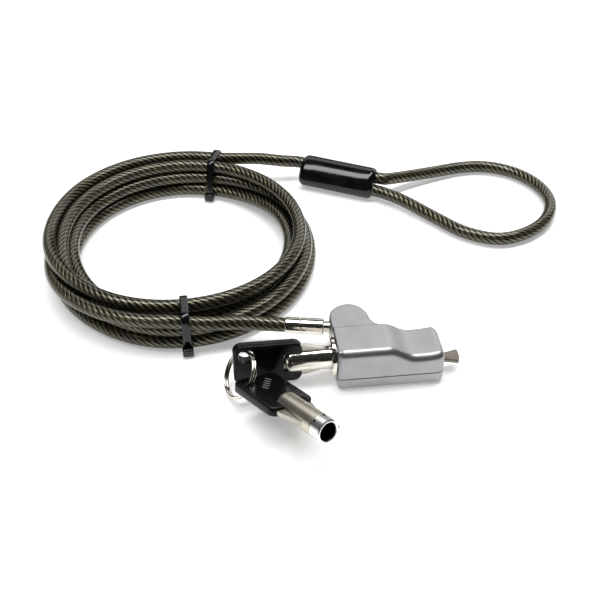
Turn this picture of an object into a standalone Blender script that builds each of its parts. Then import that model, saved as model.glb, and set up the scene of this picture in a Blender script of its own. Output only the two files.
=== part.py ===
"""Laptop cable lock: a cast head with a tubular key lock and a scissor tip, a coiled steel cable that
ends in a crimped loop, and two keys on a split ring.

The origin is the centre of the head's flat underside, which lies on z = 0.  +X runs along the head to
the locking tip, +Y points to the cable's side and +Z is up.  Sizes here are millimetres, and every
helper turns them into metres with MM.
"""

import math

import bmesh
import bpy
from mathutils import Matrix, Vector

MM = 0.001
GAP = 0.3                                   # air between two pieces that touch

# Head casting: a main block with a lower lobe behind its left end, split into two covers.
HEAD_LENGTH = 35.4
HEAD_DEPTH = 14.8
HEAD_HEIGHT = 15.5
HEAD_EDGE = 1.3                             # rounding of the casting's edges
LOBE_CENTRE = (-10.9, 13.6)
LOBE_RADIUS = 6.9
LOBE_HEIGHT = 13.8
PARTING_Z = 4.6
WALL = 1.4
SCOOP_START = -1.2                          # the thumb scoop in the top begins here and falls to its valley
SCOOP_RUN = 7.0
SCOOP_VALLEY_Z = 11.6
SCOOP_END_Z = 12.2

# Tubular key lock, on an axis along X.
LOCK_Z = 8.5
BEZEL_RADIUS = 6.5
BEZEL_THICKNESS = 1.3
SHELL_RADIUS = 5.5
SHELL_END_X = -4.3
KEYWAY_RADIUS = 4.2
POST_RADIUS = 2.45
CARRIER_RADIUS = 3.9
CARRIER_FRONT_X = -11.2
CARRIER_BACK_X = -5.6
TAIL_RADIUS = 2.0
PIN_COUNT = 7
PIN_RADIUS = 0.4
PIN_CIRCLE = 3.0

# Scissor tip: two stacked jaws on an upright pivot.
PIVOT_X = 10.0
JAW_THICKNESS = 1.05
JAW_END_X = 23.9
JAW_TIP_WIDTH = 4.4
JAW_NECK_WIDTH = 2.0

# Cable swivel in the lobe.
SWIVEL_POINT = Vector((-HEAD_LENGTH / 2, 15.5, 8.0))
SWIVEL_YAW = math.radians(169.0)            # the cable leaves to the left and a little backwards
STUD_RADIUS = 2.1
FERRULE_RADIUS = 2.9
FERRULE_START = 1.6                         # distances along the swivel axis from SWIVEL_POINT
FERRULE_END = 14.8

# Cable.
CABLE_RADIUS = 2.5
COIL_CENTRE = (-67.7, 73.0)
COIL_OUTER = 51.2
COIL_INNER = 39.9
COIL_STRETCH = 1.066                        # the coil is a little longer along Y than along X
COIL_BOTTOM = 1.6
COIL_TOP = 14.4
TIE_WIDTH = 2.5
TIE_THICKNESS = 1.2
SLEEVE_LEFT = Vector((-14.6, 122.0, 6.2))
SLEEVE_RIGHT = Vector((14.6, 107.5, 5.6))
SLEEVE_HALF_WIDTH = 6.8
SLEEVE_HALF_HEIGHT = 4.8
SLEEVE_ROLL = math.radians(35.0)             # the sleeve lies with its rear edge raised
LEG_OFFSET = 2.9                            # the loop's two legs lie this far either side of the sleeve's axis

# Keys: u runs from the bow's rear end to the tip, v across the bow, w out of its face.
BOW_LENGTH = 22.5
BOW_WIDTH = 16.4
BOW_THICKNESS = 3.2
BOW_CORNER = 3.0
BOW_HOLE = (4.35, 4.16)
BOW_HOLE_RADIUS = 3.0
KEY_LENGTH = 39.5
KEY_TUBE_RADIUS = 3.9
KEY_BORE_RADIUS = 2.8
KEY_BORE_DEPTH = 12.0
KEY_TUBE_START = 16.5
BLADE_THICKNESS = 1.4
KEY_1_REAR = Vector((-51.2, 0.0, LOCK_Z))
KEY_2_YAW = math.radians(-58.6)
KEY_2_TILT = math.radians(12.1)
KEY_2_ROLL = math.radians(14.9)

# Split ring through both bows.
RING_CENTRE = Vector((-49.17, -4.2, 7.71))
RING_NORMAL = Vector((0.799, 0.230, -0.556)).normalized()
RING_RADIUS = 7.6
RING_RADIAL = 0.95
RING_AXIAL = 1.9
RING_TO_KEY_2 = math.radians(5.2)         # where key 2 hangs, measured around the ring

ASSEMBLY = "laptop_cable_lock"


# ---------------------------------------------------------------- scene and materials

def clear_scene():
    for thing in list(bpy.data.objects):
        bpy.data.objects.remove(thing, do_unlink=True)


def new_collection(name):
    made = bpy.data.collections.new(name)
    bpy.context.scene.collection.children.link(made)
    return made


def new_material(name, colour, roughness, metallic=0.0):
    made = bpy.data.materials.new(name)
    made.use_nodes = True
    shader = made.node_tree.nodes["Principled BSDF"]
    shader.inputs["Base Color"].default_value = (*colour, 1.0)
    shader.inputs["Roughness"].default_value = roughness
    shader.inputs["Metallic"].default_value = metallic
    return made


clear_scene()
PARTS = new_collection(ASSEMBLY)
CUTTERS = new_collection("cutters")
ZINC = new_material("satin_zinc", (0.42, 0.42, 0.43), 0.38, 1.0)
NICKEL = new_material("nickel_plate", (0.62, 0.60, 0.56), 0.12, 1.0)
STEEL = new_material("plain_steel", (0.45, 0.44, 0.42), 0.3, 1.0)
BRASS = new_material("pin_brass", (0.65, 0.47, 0.2), 0.3, 1.0)
BLACK_PLASTIC = new_material("black_plastic", (0.012, 0.012, 0.014), 0.25)
CABLE_JACKET = new_material("smoke_jacket", (0.045, 0.034, 0.024), 0.18)


# ---------------------------------------------------------------- shape helpers

def place(thing, matrix=None, parent=None):
    """Give an object its place in metres, keeping it there when it hangs on a body's empty."""
    thing.matrix_world = matrix if matrix is not None else Matrix.Identity(4)
    if parent is not None:
        thing.parent = parent
        thing.matrix_parent_inverse = parent.matrix_world.inverted()


def shift(x, y, z):
    return Matrix.Translation(Vector((x, y, z)) * MM)


def along(point, direction, up=(0.0, 0.0, 1.0)):
    """A frame in metres at point (mm) whose local Z runs along direction and local Y keeps close to up."""
    z_axis = Vector(direction).normalized()
    x_axis = Vector(up).cross(z_axis).normalized()
    y_axis = z_axis.cross(x_axis)
    turn = Matrix((x_axis, y_axis, z_axis)).transposed().to_4x4()
    return shift(*point) @ turn


def body_frame(name, point, direction=(0.0, 0.0, 1.0)):
    """An empty on a joint's axis, which carries the pieces that move about it."""
    empty = bpy.data.objects.new(name, None)
    PARTS.objects.link(empty)
    empty.empty_display_size = 5 * MM
    up = (0.0, 1.0, 0.0) if abs(Vector(direction).normalized().z) > 0.9 else (0.0, 0.0, 1.0)
    empty.matrix_world = along(point, direction, up)
    return empty


def finish_mesh(name, mesh, material, smooth):
    mesh.name = name
    mesh.materials.clear()
    mesh.materials.append(material)
    if smooth:
        mesh.shade_smooth()
        mesh.set_sharp_from_angle(angle=math.radians(35))


def mesh_from_curve(curve_object):
    """Replace a curve object by a closed mesh object of the same name and place."""
    bpy.context.view_layer.update()
    evaluated = curve_object.evaluated_get(bpy.context.evaluated_depsgraph_get())
    mesh = bpy.data.meshes.new_from_object(evaluated)
    shape = bmesh.new()
    shape.from_mesh(mesh)
    bmesh.ops.remove_doubles(shape, verts=shape.verts, dist=1e-6)
    shape.to_mesh(mesh)
    shape.free()
    name = curve_object.name
    made = bpy.data.objects.new(name + "_mesh", mesh)
    for owner in curve_object.users_collection:
        owner.objects.link(made)
    made.matrix_world = curve_object.matrix_world.copy()
    bpy.data.objects.remove(curve_object, do_unlink=True)
    made.name = name
    return made


def plate(name, outline, low, high, material=None, holes=(), bevel=0.0, matrix=None, parent=None):
    """A flat outline in local XY, filled and extruded from low to high along local Z, as a closed mesh."""
    curve = bpy.data.curves.new(name, "CURVE")
    curve.dimensions = "2D"
    curve.fill_mode = "BOTH"
    curve.extrude = ((high - low) / 2 - bevel) * MM
    curve.bevel_depth = bevel * MM
    curve.bevel_resolution = 2
    curve.offset = -bevel * MM
    for loop in (outline, *holes):
        spline = curve.splines.new("POLY")
        spline.points.add(len(loop) - 1)
        for point, (x, y) in zip(spline.points, loop):
            point.co = (x * MM, y * MM, 0.0, 1.0)
        spline.use_cyclic_u = True
    made = bpy.data.objects.new(name, curve)
    PARTS.objects.link(made)
    base = matrix if matrix is not None else Matrix.Identity(4)
    made.matrix_world = base @ shift(0, 0, (low + high) / 2)
    solid = mesh_from_curve(made)
    finish_mesh(name, solid.data, material or STEEL, smooth=True)
    place(solid, solid.matrix_world.copy(), parent)
    return solid


def turned(name, profile, material, matrix, steps=32, parent=None, solid=True, scale=(1, 1, 1)):
    """A turned shape.  The profile's (radius, height) points run down its outer side; local Z is the axis."""
    mesh = bpy.data.meshes.new(name)
    shape = bmesh.new()
    verts = [shape.verts.new((radius * MM, 0.0, height * MM)) for radius, height in profile]
    for first, second in zip(verts, verts[1:]):
        shape.edges.new((first, second))
    if not solid:
        shape.edges.new((verts[-1], verts[0]))
    shape.to_mesh(mesh)
    shape.free()
    made = bpy.data.objects.new(name, mesh)
    PARTS.objects.link(made)
    made.data.materials.append(material)
    screw = made.modifiers.new("turn", "SCREW")
    screw.steps = screw.render_steps = steps
    screw.use_merge_vertices = True
    screw.merge_threshold = 1e-6
    screw.use_smooth_shade = False
    place(made, matrix @ Matrix.Diagonal((*scale, 1.0)), parent)
    return made


def cylinder_cutter(name, radius, low, high, matrix, sides=32):
    """A plain cylinder along local Z for cutting."""
    mesh = bpy.data.meshes.new(name)
    shape = bmesh.new()
    bmesh.ops.create_cone(shape, cap_ends=True, segments=sides, radius1=radius * MM, radius2=radius * MM,
                          depth=(high - low) * MM)
    shape.to_mesh(mesh)
    shape.free()
    return as_cutter(bpy.data.objects.new(name, mesh), matrix @ shift(0, 0, (low + high) / 2))


def box_cutter(name, low, high):
    """A block between two corners for cutting."""
    mesh = bpy.data.meshes.new(name)
    shape = bmesh.new()
    size = Vector(high) - Vector(low)
    bmesh.ops.create_cube(shape, size=1.0, matrix=Matrix.Diagonal((*(size * MM), 1.0)))
    shape.to_mesh(mesh)
    shape.free()
    centre = (Vector(high) + Vector(low)) / 2
    return as_cutter(bpy.data.objects.new(name, mesh), shift(*centre))


def as_cutter(thing, matrix=None):
    """Move an object to the cutters' collection and hide it from view."""
    for owner in list(thing.users_collection):
        owner.objects.unlink(thing)
    CUTTERS.objects.link(thing)
    thing.hide_render = True
    thing.display_type = "WIRE"
    if matrix is not None:
        thing.matrix_world = matrix
    return thing


def combine(target, tools, operation="DIFFERENCE"):
    """Cut the target by each tool, or join each tool to it."""
    for tool in tools:
        step = target.modifiers.new(tool.name, "BOOLEAN")
        step.operation = operation
        step.solver = "EXACT"
        step.object = tool
    return target


def tube(name, points, radius, material, sides_level=2, parent=None):
    """A round bar along points (mm) with filled ends."""
    curve = bpy.data.curves.new(name, "CURVE")
    curve.dimensions = "3D"
    curve.bevel_depth = radius * MM
    curve.bevel_resolution = sides_level
    curve.use_fill_caps = True
    spline = curve.splines.new("POLY")
    spline.points.add(len(points) - 1)
    for point, place_mm in zip(spline.points, points):
        point.co = (*(Vector(place_mm) * MM), 1.0)
    made = bpy.data.objects.new(name, curve)
    PARTS.objects.link(made)
    made.data.materials.append(material)
    place(made, None, parent)
    return made


def arc(centre, radius, start, end, count):
    """Points of an arc, with its angles in degrees."""
    angles = [math.radians(start + (end - start) * i / count) for i in range(count + 1)]
    return [(centre[0] + radius * math.cos(a), centre[1] + radius * math.sin(a)) for a in angles]


def rounded_rectangle(x0, y0, x1, y1, radii, count=4):
    """Radii belong to the corners (x0, y0), (x1, y0), (x1, y1) and (x0, y1)."""
    a, b, c, d = radii
    return (arc((x0 + a, y0 + a), a, 180, 270, count) + arc((x1 - b, y0 + b), b, 270, 360, count)
            + arc((x1 - c, y1 - c), c, 0, 90, count) + arc((x0 + d, y1 - d), d, 90, 180, count))


def smooth_route(points, spacing):
    """Catmull-Rom curve through points, sampled about every spacing millimetres."""
    route = [Vector(p) for p in points]
    ends = [route[0] * 2 - route[1], *route, route[-1] * 2 - route[-2]]
    dense = []
    for a, b, c, d in zip(ends, ends[1:], ends[2:], ends[3:]):
        count = max(1, round((c - b).length / spacing))
        for i in range(count):
            t = i / count
            dense.append(((b * 2) + (c - a) * t + (a * 2 - b * 5 + c * 4 - d) * t * t
                          + (b * 3 - a - c * 3 + d) * t ** 3) / 2)
    return dense + [route[-1]]


# ---------------------------------------------------------------- head

def plan_outline():
    """The head's plan with its lobe, counter-clockwise from the front left corner."""
    left, right = -HEAD_LENGTH / 2, HEAD_LENGTH / 2
    front, back = -HEAD_DEPTH / 2, HEAD_DEPTH / 2
    blend = 4.5
    # The concave blend circle touches the back face and the lobe.
    height = back + blend - LOBE_CENTRE[1]
    reach = math.sqrt((LOBE_RADIUS + blend) ** 2 - height ** 2)
    blend_centre = (LOBE_CENTRE[0] + reach, back + blend)
    touch = math.degrees(math.atan2(height, reach))
    return (arc((left + 1.5, front + 1.5), 1.5, 180, 270, 5)
            + arc((right - 2.5, front + 2.5), 2.5, 270, 360, 6)
            + arc((right - 2.5, back - 2.5), 2.5, 0, 90, 6)
            + arc(blend_centre, blend, 270, 180 + touch, 7)
            + arc(LOBE_CENTRE, LOBE_RADIUS, touch, 180, 20))


def block_outline():
    left, right = -HEAD_LENGTH / 2, HEAD_LENGTH / 2
    front, back = -HEAD_DEPTH / 2, HEAD_DEPTH / 2
    return rounded_rectangle(left, front, right, back, (1.5, 2.5, 2.5, 1.5), 4)


def scoop_cutter():
    """Everything above the head's top line, right of the flat: an S-curve down to a shallow valley."""
    points = []
    for i in range(9):
        t = i / 8
        ease = t * t * (3 - 2 * t)
        points.append((SCOOP_START + SCOOP_RUN * t, HEAD_HEIGHT + 0.01 + (SCOOP_VALLEY_Z - HEAD_HEIGHT) * ease))
    points += [(13.0, SCOOP_VALLEY_Z + 0.1), (16.0, (SCOOP_VALLEY_Z + SCOOP_END_Z) / 2), (19.0, SCOOP_END_Z)]
    points += [(19.0, HEAD_HEIGHT + 3.0), (SCOOP_START, HEAD_HEIGHT + 3.0)]
    # Local X is world X and local Y is world Z, so the plate runs along world -Y.
    frame = Matrix.Rotation(math.radians(90), 4, "X")
    return as_cutter(plate("scoop_cutter", points, -HEAD_DEPTH, HEAD_DEPTH, matrix=frame))


def swivel_direction():
    return Vector((math.cos(SWIVEL_YAW), math.sin(SWIVEL_YAW), 0.0))


SCREW_PLACES = {"cover_screw_rear": (-4.2, 10.0), "cover_screw_front": (8.5, -5.1)}


def build_head():
    """The two covers, cut from one casting shape, and the screws that hold them together."""
    lobe = as_cutter(plate("casting_lobe", plan_outline(), 0.0, LOBE_HEIGHT, bevel=HEAD_EDGE))
    swivel_frame = along(SWIVEL_POINT, swivel_direction())
    lock_frame = along((0, 0, LOCK_Z), (1, 0, 0))
    hollows = [
        scoop_cutter(),
        box_cutter("lock_chamber", (-HEAD_LENGTH / 2 + WALL, -6.0, WALL), (-3.9, 6.0, HEAD_HEIGHT - 1.2)),
        box_cutter("cam_chamber", (-4.5, -4.2, WALL), (1.3, 4.2, 12.1)),
        box_cutter("jaw_chamber", (-1.5, -3.3, WALL), (HEAD_LENGTH / 2 - WALL, 6.0, SCOOP_VALLEY_Z - 1.6)),
        cylinder_cutter("lock_mouth", SHELL_RADIUS + GAP, -HEAD_LENGTH / 2 - 1, -10.0, lock_frame),
        cylinder_cutter("swivel_chamber", 3.2, -9.0, -2.3, swivel_frame),
        cylinder_cutter("swivel_mouth", STUD_RADIUS + GAP, -3.0, 3.0, swivel_frame, 20),
        box_cutter("jaw_mouth", (14.0, -3.3, 2.9), (HEAD_LENGTH / 2 + 2, 3.3, 5.9)),
    ]
    hollows += [cylinder_cutter(name + "_hole", 1.15, -1.0, 9.6, shift(x, y, 0), 12)
                for name, (x, y) in SCREW_PLACES.items()]
    counterbores = [cylinder_cutter(name + "_seat", 1.8, -1.0, 1.5, shift(x, y, 0), 16)
                    for name, (x, y) in SCREW_PLACES.items()]
    below = box_cutter("below_parting", (-40, -40, -5), (40, 40, PARTING_Z + GAP / 2))
    above = box_cutter("above_parting", (-40, -40, PARTING_Z - GAP / 2), (40, 40, 40))
    for name, beyond in (("housing_upper", [below]), ("housing_lower", [above, *counterbores])):
        cover = plate(name, block_outline(), 0.0, HEAD_HEIGHT, ZINC, bevel=HEAD_EDGE)
        combine(cover, [lobe], "UNION")
        combine(cover, beyond + hollows)
    for name, (x, y) in SCREW_PLACES.items():
        turned(name, [(0, 9.2), (0.85, 9.2), (0.85, 1.35), (1.5, 1.35), (1.5, 0.4), (0, 0.4)], STEEL,
               shift(x, y, 0), steps=12)


# ---------------------------------------------------------------- lock cylinder and tip

def build_lock(core_body):
    """Shell, turning core with its tumbler pins, clip and drive cam."""
    frame = along((0, 0, LOCK_Z), (1, 0, 0))
    face = -HEAD_LENGTH / 2 - GAP
    front = face - BEZEL_THICKNESS
    turned("lock_shell",
           [(TAIL_RADIUS + GAP, SHELL_END_X), (SHELL_RADIUS, SHELL_END_X), (SHELL_RADIUS, face),
            (BEZEL_RADIUS, face), (BEZEL_RADIUS, front + 0.4), (BEZEL_RADIUS - 0.4, front),
            (KEYWAY_RADIUS, front), (KEYWAY_RADIUS, SHELL_END_X - 1.0), (TAIL_RADIUS + GAP, SHELL_END_X - 1.0)],
           NICKEL, frame, solid=False)
    core = turned("lock_core",
                  [(0, -1.0), (TAIL_RADIUS, -1.0), (TAIL_RADIUS, CARRIER_BACK_X), (CARRIER_RADIUS, CARRIER_BACK_X),
                   (CARRIER_RADIUS, CARRIER_FRONT_X), (POST_RADIUS, CARRIER_FRONT_X),
                   (POST_RADIUS, front + 0.9), (POST_RADIUS - 0.4, front + 0.5), (0, front + 0.5)],
                  NICKEL, frame, parent=core_body)
    pin_holes = []
    for number in range(PIN_COUNT):
        angle = 2 * math.pi * number / PIN_COUNT
        spot = frame @ shift(PIN_CIRCLE * math.cos(angle), PIN_CIRCLE * math.sin(angle), 0)
        pin_holes.append(cylinder_cutter(f"pin_hole_{number + 1}", PIN_RADIUS + 0.25, CARRIER_FRONT_X - 1,
                                         CARRIER_FRONT_X + 4.6, spot, 8))
        turned(f"tumbler_pin_{number + 1}",
               [(0, CARRIER_FRONT_X + 4.3), (PIN_RADIUS, CARRIER_FRONT_X + 4.3),
                (PIN_RADIUS, CARRIER_FRONT_X - 0.2), (0, CARRIER_FRONT_X - 0.2)],
               BRASS, spot, steps=8, parent=core_body)
    combine(core, pin_holes)
    turned("retaining_clip",
           [(TAIL_RADIUS + GAP, -3.3), (3.4, -3.3), (3.4, -3.9), (TAIL_RADIUS + GAP, -3.9)],
           STEEL, frame, solid=False, steps=20, parent=core_body)
    cam = turned("drive_cam", [(0, 0.9), (3.0, 0.9), (3.0, -0.7), (0, -0.7)], STEEL, frame, steps=24,
                 parent=core_body)
    peg = cylinder_cutter("cam_peg", 0.6, 0.0, 3.2, along((0, 0, LOCK_Z - 1.8), (1, 0, 0)), 12)
    combine(cam, [peg], "UNION")


def jaw_outline():
    """One jaw in plan: tail, pivot eye, neck and flared tip."""
    neck, tip = JAW_NECK_WIDTH / 2, JAW_TIP_WIDTH / 2
    wall = HEAD_LENGTH / 2
    return ([(3.5, 1.1), (3.5, -1.1), (PIVOT_X - 2.2, -1.1)] + arc((PIVOT_X, 0), 2.1, 215, 325, 5)
            + [(PIVOT_X + 2.6, -neck), (wall + 1.4, -neck), (JAW_END_X - 0.4, -tip), (JAW_END_X, -tip + 0.4),
               (JAW_END_X, tip - 0.4), (JAW_END_X - 0.4, tip), (wall + 1.4, neck), (PIVOT_X + 2.6, neck)]
            + arc((PIVOT_X, 0), 2.1, 35, 145, 5) + [(PIVOT_X - 2.2, 1.1)])


def build_tip(upper_body, lower_body):
    eye = arc((PIVOT_X, 0), 1.3, 0, 337.5, 15)
    z_lower = PARTING_Z - 0.2 - JAW_THICKNESS - GAP / 2
    z_upper = PARTING_Z - 0.2 + GAP / 2
    plate("jaw_lower", jaw_outline(), z_lower, z_lower + JAW_THICKNESS, NICKEL, [eye], parent=lower_body)
    plate("jaw_upper", jaw_outline(), z_upper, z_upper + JAW_THICKNESS, NICKEL, [eye], parent=upper_body)
    turned("jaw_pivot_pin", [(0, 6.8), (1.0, 6.8), (1.0, WALL + GAP), (0, WALL + GAP)], STEEL,
           shift(PIVOT_X, 0, 0), steps=16)


# ---------------------------------------------------------------- cable

def coil_radius(angle, radius):
    """Distance from the coil's centre to its stretched circle at a plan angle."""
    return radius / math.sqrt(math.cos(angle) ** 2 + (math.sin(angle) / COIL_STRETCH) ** 2)


def build_tie(name, angle, body, head_side):
    """A nylon tie around the bundle at one plan angle, with its head low on the outer (1) or inner (-1) side."""
    outer = coil_radius(angle, COIL_OUTER) + GAP
    inner = coil_radius(angle, COIL_INNER) - GAP
    low, high = COIL_BOTTOM - GAP, COIL_TOP + GAP
    radial = Vector((math.cos(angle), math.sin(angle), 0.0))
    centre = Vector((*COIL_CENTRE, 0.0))
    # Local X is radial, local Y is up and local Z runs along the bundle.
    tangent = radial.cross(Vector((0, 0, 1)))
    frame = shift(*centre) @ Matrix((radial, (0, 0, 1), tangent)).transposed().to_4x4()
    skin = TIE_THICKNESS
    ring = plate(name, rounded_rectangle(inner - skin, low - skin, outer + skin, high + skin, (3, 3, 3, 3)),
                 -TIE_WIDTH / 2, TIE_WIDTH / 2, BLACK_PLASTIC,
                 [rounded_rectangle(inner, low, outer, high, (1.8, 1.8, 1.8, 1.8))[::-1]],
                 matrix=frame, parent=body)
    start = outer + 0.4 if head_side > 0 else inner - 3.6
    head = as_cutter(plate(name + "_head", rounded_rectangle(start, low + 1.0, start + 3.2, low + 5.0,
                                                             (0.6, 0.6, 0.6, 0.6), 2),
                           -2.1, 2.1, matrix=frame))
    combine(ring, [head], "UNION")


LOOP_ROUTE = [
    (28.0, 112.8, 5.0), (42.0, 118.0, 3.2), (55.8, 121.4, 2.6), (67.4, 120.3, 2.6), (77.6, 114.0, 2.6),
    (84.2, 103.2, 2.6), (85.2, 90.0, 2.6), (79.0, 77.4, 2.6), (68.4, 69.4, 2.6), (56.6, 67.0, 2.6),
    (44.8, 73.0, 2.6), (35.2, 84.2, 2.8), (25.0, 96.2, 3.6),
]


def build_cable(cable_body):
    """Stud, washer, ferrule, the lead to the coil, the coil, the tail, the sleeve and the loop."""
    swivel = along(SWIVEL_POINT, swivel_direction())
    turned("anchor_stud",
           [(0, FERRULE_START + 3.4), (STUD_RADIUS - 0.3, FERRULE_START + 3.4),
            (STUD_RADIUS - 0.3, FERRULE_START - 0.3), (STUD_RADIUS, FERRULE_START - 0.3),
            (STUD_RADIUS, -3.7), (2.9, -3.7), (2.9, -6.2), (0, -6.2)],
           NICKEL, swivel, steps=24, parent=cable_body)
    turned("swivel_washer",
           [(STUD_RADIUS + GAP, -2.6), (2.9, -2.6), (2.9, -3.4), (STUD_RADIUS + GAP, -3.4)],
           STEEL, swivel, steps=20, solid=False)
    turned("cable_ferrule",
           [(0, FERRULE_END), (FERRULE_RADIUS - 0.3, FERRULE_END), (FERRULE_RADIUS, FERRULE_END - 0.3),
            (FERRULE_RADIUS, FERRULE_END - 5.0), (FERRULE_RADIUS - 0.25, FERRULE_END - 5.3),
            (FERRULE_RADIUS, FERRULE_END - 5.6), (FERRULE_RADIUS, FERRULE_START + 0.4),
            (FERRULE_RADIUS - 0.4, FERRULE_START), (STUD_RADIUS, FERRULE_START),
            (STUD_RADIUS, FERRULE_START + 4.0), (0, FERRULE_START + 4.0)],
           NICKEL, swivel, steps=24, parent=cable_body)
    lead_start = SWIVEL_POINT + swivel_direction() * (FERRULE_END + GAP)
    lead_middle = lead_start + swivel_direction() * 6.0
    tube("cable_lead", smooth_route([lead_start, lead_middle, (-44.8, 20.9, 8.4)], 5.0), CABLE_RADIUS,
         CABLE_JACKET, parent=cable_body)

    corner = 3.0
    ring = [(COIL_OUTER - corner, COIL_TOP), (COIL_OUTER, COIL_TOP - corner), (COIL_OUTER, COIL_BOTTOM + corner),
            (COIL_OUTER - corner, COIL_BOTTOM), (COIL_INNER + corner, COIL_BOTTOM),
            (COIL_INNER, COIL_BOTTOM + corner), (COIL_INNER, COIL_TOP - corner), (COIL_INNER + corner, COIL_TOP)]
    turned("cable_coil", ring, CABLE_JACKET, shift(*COIL_CENTRE, 0), steps=64, parent=cable_body, solid=False,
           scale=(1, COIL_STRETCH, 1))
    build_tie("tie_front", math.radians(-88.0), cable_body, 1)
    build_tie("tie_back", math.radians(71.5), cable_body, -1)

    axis = (SLEEVE_RIGHT - SLEEVE_LEFT).normalized()
    side = Vector((0, 0, 1)).cross(axis) * math.cos(SLEEVE_ROLL) + Vector((0, 0, 1)) * math.sin(SLEEVE_ROLL)
    rolled = along(SLEEVE_LEFT, axis, axis.cross(side))
    back_leg_in = SLEEVE_LEFT + side * LEG_OFFSET
    back_leg_out = SLEEVE_RIGHT + side * LEG_OFFSET
    front_leg_out = SLEEVE_RIGHT - side * LEG_OFFSET
    tail = [(-48.0, 126.6, 11.4), (-41.3, 126.2, 10.6), (-32.0, 126.0, 9.8), (-23.0, 125.0, 8.7),
            back_leg_in - axis * 3.0, back_leg_in - axis * 2 * GAP]
    tube("cable_tail", smooth_route(tail, 6.0), CABLE_RADIUS, CABLE_JACKET, parent=cable_body)
    straight = 3.0
    loop = [back_leg_out + axis * 2 * GAP, back_leg_out + axis * straight, *LOOP_ROUTE,
            front_leg_out + axis * straight, front_leg_out + axis * 2 * GAP]
    tube("cable_loop", smooth_route(loop, 7.0), CABLE_RADIUS, CABLE_JACKET, parent=cable_body)

    section = [(SLEEVE_HALF_WIDTH * math.cos(a), SLEEVE_HALF_HEIGHT * math.sin(a))
               for a in (2 * math.pi * i / 24 for i in range(24))]
    length = (SLEEVE_RIGHT - SLEEVE_LEFT).length
    sleeve = plate("loop_sleeve", section, 0.0, length, BLACK_PLASTIC, bevel=1.2,
                   matrix=rolled, parent=cable_body)
    pocket = as_cutter(plate("crimp_pocket", rounded_rectangle(-5.2, -3.2, 5.2, 3.2, (3, 3, 3, 3), 3),
                             8.0, length + 1.0, matrix=rolled))
    combine(sleeve, [pocket])
    plate("loop_crimp", rounded_rectangle(-4.9, -2.9, 4.9, 2.9, (2.8, 2.8, 2.8, 2.8), 3), 8.3, 24.0, STEEL,
          matrix=rolled, parent=cable_body)


# ---------------------------------------------------------------- keys and ring

def key_frame(rear, direction, across):
    """A frame at a bow's rear end, with u along local X, v along local Y and w along local Z."""
    u_axis = direction.normalized()
    w_axis = u_axis.cross(across).normalized()
    v_axis = w_axis.cross(u_axis)
    return shift(*rear) @ Matrix((u_axis, v_axis, w_axis)).transposed().to_4x4()


def blade_outline():
    """The flat steel blade: a tang inside the bow whose shoulders taper away along the tube."""
    return [(9.5, -4.0), (BOW_LENGTH - 2.0, -6.3), (BOW_LENGTH + 1.0, -6.3), (KEY_LENGTH - 8.5, -4.2),
            (KEY_LENGTH - 7.5, -3.4), (KEY_LENGTH - 7.5, 3.4), (KEY_LENGTH - 8.5, 4.2),
            (BOW_LENGTH + 1.0, 6.3), (BOW_LENGTH - 2.0, 6.3), (9.5, 4.0)]


def build_key(label, frame, body):
    """One tubular key: a moulded bow over a steel shaft."""
    half = BOW_WIDTH / 2
    hole = arc(BOW_HOLE, BOW_HOLE_RADIUS, 360, 15, 23)
    bow = plate(f"{label}_bow",
                rounded_rectangle(0, -half, BOW_LENGTH, half, (BOW_CORNER,) * 4), -BOW_THICKNESS / 2,
                BOW_THICKNESS / 2, BLACK_PLASTIC, [hole], matrix=frame, parent=body)
    axis = frame @ Matrix.Rotation(math.radians(90), 4, "Y")
    blade = blade_outline()
    room = [(9.2, -4.3), (BOW_LENGTH - 2.2, -6.7), (BOW_LENGTH + 2, -6.7), (BOW_LENGTH + 2, 6.7),
            (BOW_LENGTH - 2.2, 6.7), (9.2, 4.3)]
    pocket = as_cutter(plate(f"{label}_pocket", room, -BLADE_THICKNESS / 2 - GAP, BLADE_THICKNESS / 2 + GAP,
                             matrix=frame))
    seat = cylinder_cutter(f"{label}_seat", KEY_TUBE_RADIUS + GAP, KEY_TUBE_START - GAP, BOW_LENGTH + 2, axis)
    combine(bow, [pocket, seat])

    radius, start = KEY_TUBE_RADIUS, KEY_TUBE_START
    bore_start = KEY_LENGTH - KEY_BORE_DEPTH
    shaft = turned(f"{label}_shaft",
                   [(0, KEY_LENGTH), (radius - 0.3, KEY_LENGTH), (radius, KEY_LENGTH - 0.3),
                    (radius, start + 2.2), (radius * 0.75, start + 0.6), (0, start)],
                   NICKEL, axis, parent=body)
    web = as_cutter(plate(f"{label}_web", blade, -BLADE_THICKNESS / 2, BLADE_THICKNESS / 2, matrix=frame))
    bore = cylinder_cutter(f"{label}_bore", KEY_BORE_RADIUS, bore_start, KEY_LENGTH + 1, axis)
    combine(shaft, [web], "UNION")
    combine(shaft, [bore])


def ring_axes():
    """The ring's in-plane directions: forwards, and the steepest way up."""
    rise = (Vector((0, 0, 1)) - RING_NORMAL * RING_NORMAL.z).normalized()
    return RING_NORMAL.cross(rise), rise


def key_2_axes():
    """Key 2's direction, and the side of its bow that the ring passes through."""
    level = Vector((math.cos(KEY_2_YAW), math.sin(KEY_2_YAW), 0.0))
    direction = level * math.cos(KEY_2_TILT) + Vector((0, 0, math.sin(KEY_2_TILT)))
    side = direction.cross(Vector((0, 0, 1))).normalized()
    across = Matrix.Rotation(-KEY_2_ROLL, 3, direction) @ side
    return direction, across


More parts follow.
